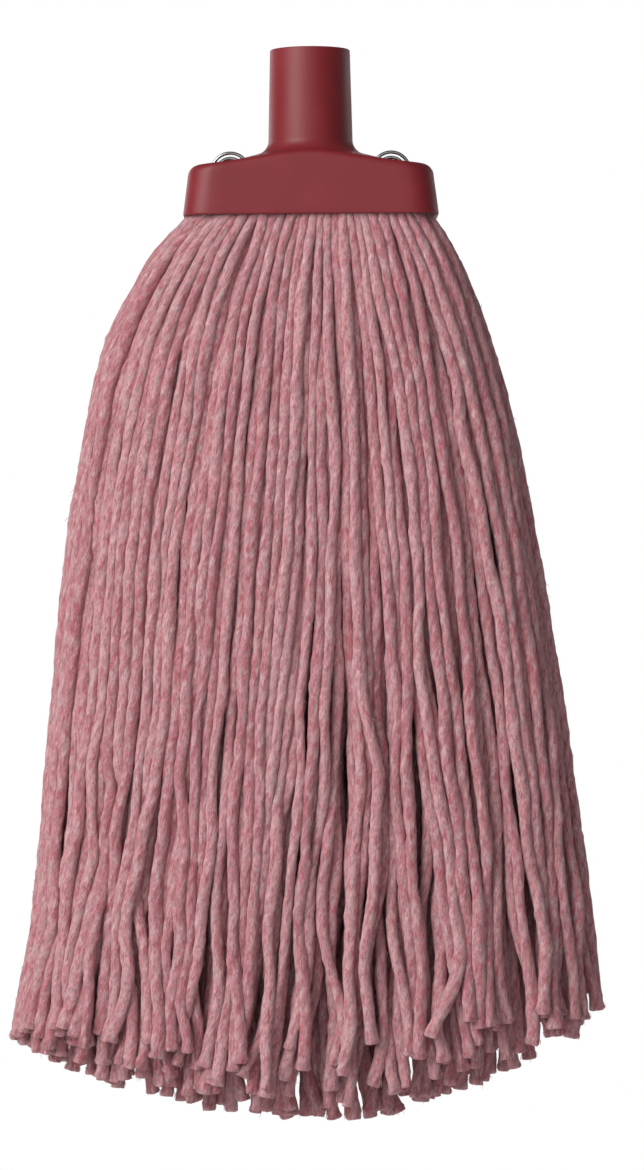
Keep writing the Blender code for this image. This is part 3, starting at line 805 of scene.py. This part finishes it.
def bundle_limits(depth, radius):
    """Half sizes that the tails' middles keep to, and the outline's power, at a depth."""
    half_x = FAN_X + FAN_X_SLOPE * depth - FAN_X_NECK * np.exp(-depth / FAN_X_REACH)
    half_y = FAN_Y + FAN_Y_SLOPE * depth - FAN_Y_NECK * np.exp(-depth / FAN_Y_REACH)
    power = SECTION_POWER + SECTION_POWER_NECK * math.exp(-depth / SECTION_POWER_REACH)
    pinch = math.exp(-depth / LIP_PINCH_REACH)
    return half_x - radius - LIP_PINCH_X * pinch, half_y - radius - LIP_PINCH_Y * pinch, power


def strand_radius(depth):
    swell = 1 - np.exp(-np.maximum(0.0, depth) / STRAND_SWELL)
    return STRAND_R_MOUTH + (STRAND_R - STRAND_R_MOUTH) * swell


def scattered(across, through, spread):
    return across + rng.normal(0, spread[0]), through + rng.normal(0, spread[1])


def lay_out():
    """Each tail's place at the mouth and where it hangs, in -1..1, its band and how far out it is."""
    mouth, band, hang, tier = [], [], [], []
    bands = len(BAND_LOCKS)
    for column in range(COLUMNS):
        even = 2 * column / (COLUMNS - 1) - 1
        p = (1 - END_CROWDING) * even + END_CROWDING * math.sin(math.pi / 2 * even)
        section = (1 - COLUMN_FILL * abs(p) ** SECTION_POWER) ** (1 / SECTION_POWER)
        rows = max(LEAST_ROWS, round(ROWS * section))
        fading = float(smooth_step((abs(p) - CROWDING_END) / CROWDING_FADE))
        crowding = SURFACE_CROWDING * (1 - fading)
        flat = END_TIER_CUT * float(smooth_step((abs(p) - TIER_CUT_START) / TIER_CUT_REACH))
        for row in range(rows):
            q = 2 * row / (rows - 1) - 1
            stagger = 2 * ((row * ROW_STAGGER) % 1 - 0.5) / COLUMNS
            mouth.append(scattered(p + stagger, q, MOUTH_NOISE))
            band.append(min(bands - 1, int(bands * (row + 0.5) / rows)))
            place = abs(q) + crowding * (float(smooth_step(SURFACE_PULL * abs(q))) - abs(q))
            hang.append(scattered(p + stagger, math.copysign(place, q), HANG_NOISE))
            tier.append(abs(q) * (rows - 1) / rows * (1 - flat))
    return np.array(mouth), np.array(band), np.array(hang), np.array(tier)


def make_locks(count, ease):
    """Neighbouring locks across one band: the seams between them, and how each one hangs."""
    seams = np.concatenate([[0.0], np.cumsum(rng.uniform(*LOCK_WIDTHS, count))])
    seams = seams / seams[-1] * 2 * LOCK_SPAN - LOCK_SPAN
    middle = 0.5 * (seams[1:] + seams[:-1])
    aside = rng.normal(0, LOCK_ASIDE, count) * ease
    traits = {
        "middle": middle,
        "aside": aside * (1 - np.abs(middle).clip(0, 1) ** 4),
        "forward": rng.normal(0, LOCK_FORWARD, count) * ease,
        "squeeze": rng.uniform(0.0, LOCK_SQUEEZE, count),
        "sway": rng.normal(0, LOCK_SWAY, count),
        "phase": rng.uniform(0, math.tau, count),
        "start": rng.uniform(*LOCK_START, count),
        "splay": rng.uniform(*LOCK_SPLAY, count),
    }
    return seams, traits


def lock_traits(band, across):
    """For each tail, how the lock that it is in hangs."""
    own = {}
    for number, (count, ease) in enumerate(BAND_LOCKS):
        seams, traits = make_locks(count, ease)
        mine = np.nonzero(band == number)[0]
        which = np.clip(np.searchsorted(seams, across[mine]) - 1, 0, count - 1)
        for key, values in traits.items():
            own.setdefault(key, np.zeros(len(band)))[mine] = values[which]
    return own


def cut_rise(across, tier):
    """How much higher than the core a tail is cut, from how far out it is in the bundle."""
    most = TIER_RISE + TIER_RISE_RIGHT * smooth_step((across - TIER_RIGHT_START) / TIER_RIGHT_REACH)
    share = np.clip(tier - TIER_FLAT, 0, 1)
    return most * share / (1 - TIER_FLAT) + TIER_SPREAD * rng.random(len(tier))


def low_share(deep):
    return smooth_step((deep - LOW_START) / LOW_REACH)


def waves(deep, phases, tempo):
    """The tails' own gentle waves in one direction, at a depth."""
    mid, low = smooth_step(deep / MID_REACH), low_share(deep)
    slow = np.sin(phases[0] + deep * SLOW_RATE * tempo[0])
    quick = np.sin(phases[1] + deep * QUICK_RATE * tempo[1])
    slow_size = SLOW_WAVE[0] * mid + SLOW_WAVE[1] * low
    return slow_size * slow + (QUICK_WAVE[0] * mid + QUICK_WAVE[1] * low) * quick


def drift(deep, across):
    """How the whole bundle leans to the left, and how its lower left corner flares out."""
    lean = LEAN_X * (deep / LEAN_DEPTH) * math.exp(1 - deep / LEAN_DEPTH)
    corner = CORNER_FLARE * smooth_step((deep - CORNER_DEPTH) / CORNER_REACH)
    return lean - corner * smooth_step((-across - CORNER_START) / (1 - CORNER_START))


def hang_strands():
    """Hangs the tails level by level, pushing apart those that would share a place."""
    mouth, band, hang, tier = lay_out()
    count = len(mouth)
    size = 1 + rng.normal(0, SIZE_SPREAD, count)
    own = lock_traits(band, hang[:, 0])
    phases = rng.uniform(0, math.tau, (6, count))[:4]  # six are drawn, four are used
    tempo = rng.uniform(*WAVE_TEMPO, (2, count))
    stray = np.where(rng.random(count) < STRAY_SHARE, rng.normal(0, STRAY, count), 0.0)
    sink = rng.normal(0, SINK, count)
    tip_aside = rng.normal(0, TIP_ASIDE, count)
    rise = cut_rise(hang[:, 0], tier)
    length = tail_depth(hang[:, 0], rise)
    outer = np.abs(band - CORE_BAND) / CORE_BAND
    depths = np.arange(START_DEPTH, MOUTH_Z - TIP_Z + 2 * LEVEL, LEVEL)
    offset = np.zeros((count, 2))
    places = []
    for depth in depths:
        # p and q are places in the bundle's outline, x and y are metres
        deep = max(0.0, depth)
        radius = strand_radius(depth) * size
        half_x, half_y, power = bundle_limits(deep, radius.mean())
        p, q = (mouth + (hang - mouth) * (1 - math.exp(-deep / SETTLE_REACH))).T
        grown = smooth_step((deep - own["start"]) / LOCK_GROWTH)
        near_tip = np.exp(-np.maximum(0.0, length - deep) / TIP_REACH)
        sweep = SWEEP * outer * np.sin(math.pi * np.clip((p + 1) / SWEEP_WIDTH, 0, 1))
        p = p - sweep * smooth_step((deep - LOOSE_START) / SWEEP_REACH)
        width = 1 - own["squeeze"] * grown + own["splay"] * near_tip * low_share(deep)
        p = own["middle"] + (p - own["middle"]) * width
        x = p * half_x
        y = q * half_y * (1 - np.minimum(np.abs(p), SECTION_LIMIT) ** power) ** (1 / power)
        sway = np.sin(own["phase"] + deep * SWAY_RATE)
        x = x + own["aside"] * grown**1.5 + own["sway"] * grown * sway
        y = y + own["forward"] * grown * np.sign(q) + sink * smooth_step(deep / MOUTH_REACH)
        x = x + waves(deep, phases[:2], tempo)
        y = y + waves(deep, phases[2:], tempo)
        x = x + stray * smooth_step((deep - LOOSE_START) / STRAY_REACH) + tip_aside * near_tip
        free = np.stack([x, y], -1) + offset * MEMORY
        place = free
        for _ in range(PUSH_ROUNDS):
            place = push_apart(place, radius * SOFTNESS)
            place = keep_inside(place, half_x, half_y, power)
        offset = offset * MEMORY + place - free
        places.append(place + np.stack([drift(deep, hang[:, 0]), np.zeros(count)], -1))
    places = np.array(places)
    at = int(np.argmin(np.abs(depths - TIP_DEPTH)))
    length = tail_depth(places[at, :, 0] / TIP_HALF_X, rise)
    return depths, places, size, band, length


def tail_depth(across, rise):
    """How far below the mouth each tail ends, from its place across and its own rise."""
    edge = np.clip(np.abs(across), 0, TIP_EDGE)
    left = TIP_RISE_LEFT * edge**TIP_POWER_LEFT
    right = TIP_RISE_RIGHT * edge**TIP_POWER_RIGHT
    return MOUTH_Z - TIP_Z - END_DOME - np.where(across < 0, left, right) - rise


def push_apart(place, radius):
    """Moves each tail away from those that it overlaps."""
    gap = place[:, None] - place[None]
    distance = np.sqrt((gap**2).sum(-1))
    np.fill_diagonal(distance, 1.0)
    overlap = np.clip(radius[:, None] + radius[None] - distance, 0.0, None)
    push = gap / distance[..., None] * overlap[..., None] * PUSH
    return place + push.sum(1)


def keep_inside(place, half_x, half_y, power):
    """Pulls the tails outside the bundle's outline back onto it."""
    share_x, share_y = np.abs(place[:, 0]) / half_x, np.abs(place[:, 1]) / half_y
    reach = (share_x**power + share_y**power) ** (1 / power)
    return place / np.maximum(1.0, reach)[:, None]


def smoothed(places):
    for _ in range(SMOOTH_ROUNDS):
        inner = 0.25 * places[:-2] + 0.5 * places[1:-1] + 0.25 * places[2:]
        places = np.concatenate([places[:1], inner, places[-1:]])
    return places


def part_number(x, half, count):
    """Which of count equal parts from -half to half holds x."""
    return int(np.clip(math.floor((x / half + 1) / 2 * count), 0, count - 1))


def group_of(x, y):
    """The frame's lock that a tail belongs to, from its place at the grouping depth."""
    if abs(y) > ROW_INNER_Y:
        half = ROW_HALF_X_TOP + ROW_SEAM_FLARE * GROUP_DEPTH
        name = ROW_NAMES[part_number(x, half, len(ROW_NAMES))]
        return f"front_lock_{name}" if y < 0 else f"back_lock_{name}"
    half = CORE_HALF_X_TOP + CORE_FLARE * GROUP_DEPTH
    if abs(x) > half:
        return "end_lock_left" if x < 0 else "end_lock_right"
    return f"core_lock_{part_number(x, half, CORE_LOCKS) + 1}"


class Bundle:
    """Collects points, faces and the yarn's own coordinates for one piece."""

    def __init__(self):
        self.parts, self.count = [], 0

    def add(self, points, quads, tris, coords, groove, tone):
        tones = np.full(len(points), tone)
        self.parts.append((points, quads + self.count, tris + self.count, coords, groove, tones))
        self.count += len(points)

    def piece(self, name, material):
        points, quads, tris, coords, groove, tone = map(np.concatenate, zip(*self.parts))
        piece = mesh_piece(name, points, quads, material, tris)
        set_attribute(piece, "strand", "FLOAT_VECTOR", "vector", coords)
        set_attribute(piece, "groove", "FLOAT", "value", groove)
        set_attribute(piece, "tone", "FLOAT", "value", tone)
        return piece


def set_attribute(piece, name, kind, key, values):
    made = piece.data.attributes.new(name, kind, "POINT")
    made.data.foreach_set(key, np.asarray(values, np.float32).ravel())


def strand_radii(path, length, size, groove, cut_end):
    """Radii all round each ring: thick and flat stretches, the plies and the flared cut end."""
    steps, turn = np.arange(NOISE_STEPS), np.arange(AROUND) * math.tau / AROUND
    knots = np.interp(length / KNOT_PITCH, steps, rng.normal(0, 1, NOISE_STEPS))
    flat = np.interp(length / FLAT_PITCH, steps, rng.uniform(0, math.tau, NOISE_STEPS).cumsum())
    fray = np.exp(-(length[-1] - length) / FRAY_REACH)[:, None] * (1.0 if cut_end else 0.0)
    base = strand_radius(MOUTH_Z - path[:, 2]) * size * (1 + KNOT_SIZE * knots)
    radii = base[:, None] * (1 - GROOVE * (1 + FRAY_GROOVE * fray) * groove)
    radii *= 1 + FLATNESS * np.cos(2 * (turn[None] - flat[:, None])) + rng.normal(0, UNEVEN, radii.shape)
    flare = FLARE + FLARE_BY_SIDE * rng.normal(0, 1, (1, AROUND))
    radii *= 1 + fray * (flare + FLARE_BY_POINT * rng.normal(0, 1, radii.shape))
    if cut_end:
        radii[-1] *= END_ROUND
    return radii


def add_strand(bundle, path, size, fibres, cut_end=True):
    """One tail: soft plies in a loose twist, a brushed-out cut end and loose fibres."""
    if cut_end:
        path = np.concatenate([path, path[-1:] + END_DOME * normalized(path[-1:] - path[-2:-1])])
    length = np.concatenate([[0.0], np.cumsum(np.linalg.norm(np.diff(path, axis=0), axis=1))])
    rings = len(path)
    seed, tone = rng.uniform(0, COORD_RANGE), rng.uniform(0, 1)
    turn = np.arange(AROUND) * math.tau / AROUND
    wander = np.cumsum(rng.normal(0, TWIST_WANDER, rings))
    ply = turn[None] - (math.tau * length / TWIST_PITCH + rng.uniform(0, math.tau) + wander)[:, None]
    groove = ((1 - np.cos(PLIES * ply)) / 2) ** GROOVE_WIDTH
    radii = strand_radii(path, length, size, groove, cut_end)
    ring, out, points = tube(path, radii, (1.0, 0.0, 0.0), END_DOME / 3 if cut_end else 0.0)
    quads, tris = tube_faces(rings, AROUND)
    along = np.repeat((length / COORD_LENGTH + seed)[:, None], AROUND, 1)
    slant = turn[None] - (math.tau * length / FLECK_PITCH + FLECK_WANDER * wander)[:, None]
    coords = np.stack([np.cos(slant), np.sin(slant), along], -1).reshape(-1, 3)
    ends = np.array([[0.0, 0.0, along[0, 0]], [0.0, 0.0, along[-1, 0]]])
    # the end caps' middles get part of the grooves' painted shade
    groove = np.concatenate([groove.ravel(), [END_CAP_GROOVE_SHADE] * 2])
    bundle.add(points, quads, tris, np.concatenate([coords, ends]), groove, tone)
    if fibres:
        add_fibres(bundle, ring, out, coords.reshape(rings, AROUND, 3), fibres, tone)


def add_fibres(bundle, ring, out, coords, count, tone):
    """Loose fibres that stand off a tail and bend back along it, more of them at its cut end."""
    rings = len(ring)
    at = np.minimum(rng.integers(1, rings, count), rings - 2)
    at_end = int(count * FIBRES_AT_END)
    at[:at_end] = rings - 3
    side = rng.integers(0, AROUND, count)
    root, normal, tint = ring[at, side], out[at, side], coords[at, side]
    tangent = normalized(ring[at + 1, side] - ring[at, side])
    spin = np.cross(tangent, normal)
    along = np.where(rng.random(count) < FIBRE_DOWN, 1.0, -1.0)[:, None]
    along[:at_end] = 1.0
    aslant = rng.normal(0, FIBRE_ASLANT, (count, 1))
    reach = rng.uniform(*FIBRE_REACH, (count, 1))
    stand = rng.uniform(*FIBRE_STAND, (count, 1))
    stand[:at_end] *= FIBRE_STAND_AT_END
    one = root - normal * FIBRE_ROOT
    two = one + reach * normalized(stand * normal + FIBRE_AHEAD * along * tangent + aslant * spin)
    curl = rng.normal(0.0, FIBRE_CURL, (count, 1))
    bend = normalized(curl * normal + along * tangent + FIBRE_TURN * aslant * spin)
    three = two + reach * FIBRE_END * bend
    path = np.stack([one, two, three], 1)
    first = normalized(two - one)
    u = normalized(np.cross(first, spin + 0.3 * normal + 1e-6))
    v = np.cross(first, u)
    thick = rng.uniform(*FIBRE_THICK, (count, 1, 1, 1)) * np.array(FIBRE_TAPER)[None, :, None, None]
    turn = (np.arange(FIBRE_SIDES) * math.tau / FIBRE_SIDES)[None, None, :, None]
    rim = np.cos(turn) * u[:, None, None] + np.sin(turn) * v[:, None, None]
    points = (path[:, :, None] + thick * rim).reshape(-1, 3)
    size = len(FIBRE_TAPER) * FIBRE_SIDES
    base = np.arange(count)[:, None, None] * size
    quads = (ring_faces(len(FIBRE_TAPER), FIBRE_SIDES)[None] + base).reshape(-1, 4)
    tris = (np.array([[2, 1, 0], [6, 7, 8]])[None] + base).reshape(-1, 3)
    bundle.add(points, quads, tris, np.repeat(tint, size, 0), np.zeros(len(points)), tone)


def tail_path(depths, places, length):
    """One tail's middle line from the mouth to its cut end, a little crooked."""
    steps = int(round((length - START_DEPTH) / RING))
    level = np.linspace(START_DEPTH, length, steps)
    x = np.interp(level, depths, places[:, 0])
    y = np.interp(level, depths, places[:, 1])
    for place in (x, y):
        shifts = rng.normal(0, WOBBLE, WOBBLE_STEPS)
        wobble = np.interp(level / WOBBLE_PITCH, np.arange(WOBBLE_STEPS), shifts)
        place += wobble * smooth_step(level / MOUTH_REACH)
    return smoothed(np.stack([x, y, MOUTH_Z - level], -1))


def make_tails(material):
    """All the tails, one piece for each lock of the frame. Gives back where they enter the hood."""
    depths, places, size, band, length = hang_strands()
    places = smoothed(places)
    at = int(np.argmin(np.abs(depths - GROUP_DEPTH)))
    groups = {}
    for number in range(places.shape[1]):
        groups.setdefault(group_of(*places[at, number]), []).append(number)
    for name in sorted(groups):
        bundle = Bundle()
        for number in groups[name]:
            path = tail_path(depths, places[:, number], length[number])
            fibres = CORE_FIBRES if band[number] == CORE_BAND else FIBRES
            add_strand(bundle, path, size[number], fibres)
        piece = bundle.piece(name.replace("lock", "yarn"), material)
        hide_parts(name)
        if name.startswith("core"):
            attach(piece, "head")
        else:
            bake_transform(piece)
    return places[0], size


def fold_top(x, nest):
    """Height of a fold's top: beside the coils below them, under the socket over or under the wire."""
    if abs(x) > FOLD_HALF_X:
        return FOLD_TOP_SHOULDER - FOLD_NEST_SHOULDER * nest
    return (FOLD_TOP_OVER if nest < 0.5 else FOLD_TOP_UNDER) - FOLD_NEST * (nest % 0.5)


def make_folds(material, feet, size):
    """The yarn's folds inside the hood: each length goes up from one tail and down into another."""
    turn = np.linspace(0.0, math.pi, FOLD_RINGS)
    bundles = {name: Bundle() for name in ("left", "middle", "right")}
    for slab in np.array_split(np.argsort(feet[:, 0]), COLUMNS):
        slab = slab[np.argsort(feet[slab, 1])]
        pairs = len(slab) // 2
        for k in range(pairs):
            one, two = feet[slab[k]], feet[slab[-1 - k]]
            middle, half = 0.5 * (one + two), 0.5 * (one - two)
            top = fold_top(middle[0], k / pairs)
            plan = middle + half * np.cos(turn)[:, None]
            z = FOLD_FOOT + (top - FOLD_FOOT) * np.sin(turn) ** FOLD_ROUND
            path = np.concatenate([plan, z[:, None]], 1)
            name = "middle" if abs(middle[0]) <= FOLD_HALF_X else "left" if middle[0] < 0 else "right"
            add_strand(bundles[name], path, size[slab[k]], fibres=0, cut_end=False)
    for name, bundle in bundles.items():
        piece = bundle.piece(f"yarn_loops_{name}", material)
        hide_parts(f"yarn_fold_{name}")
        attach(piece, "head")


make_camera()
make_world()
make_floor()
make_lights()
plastic = plastic_material()
zinc = wire_material()
yarn = yarn_material()
make_housing(plastic)
make_wire(zinc)
make_folds(yarn, *make_tails(yarn))
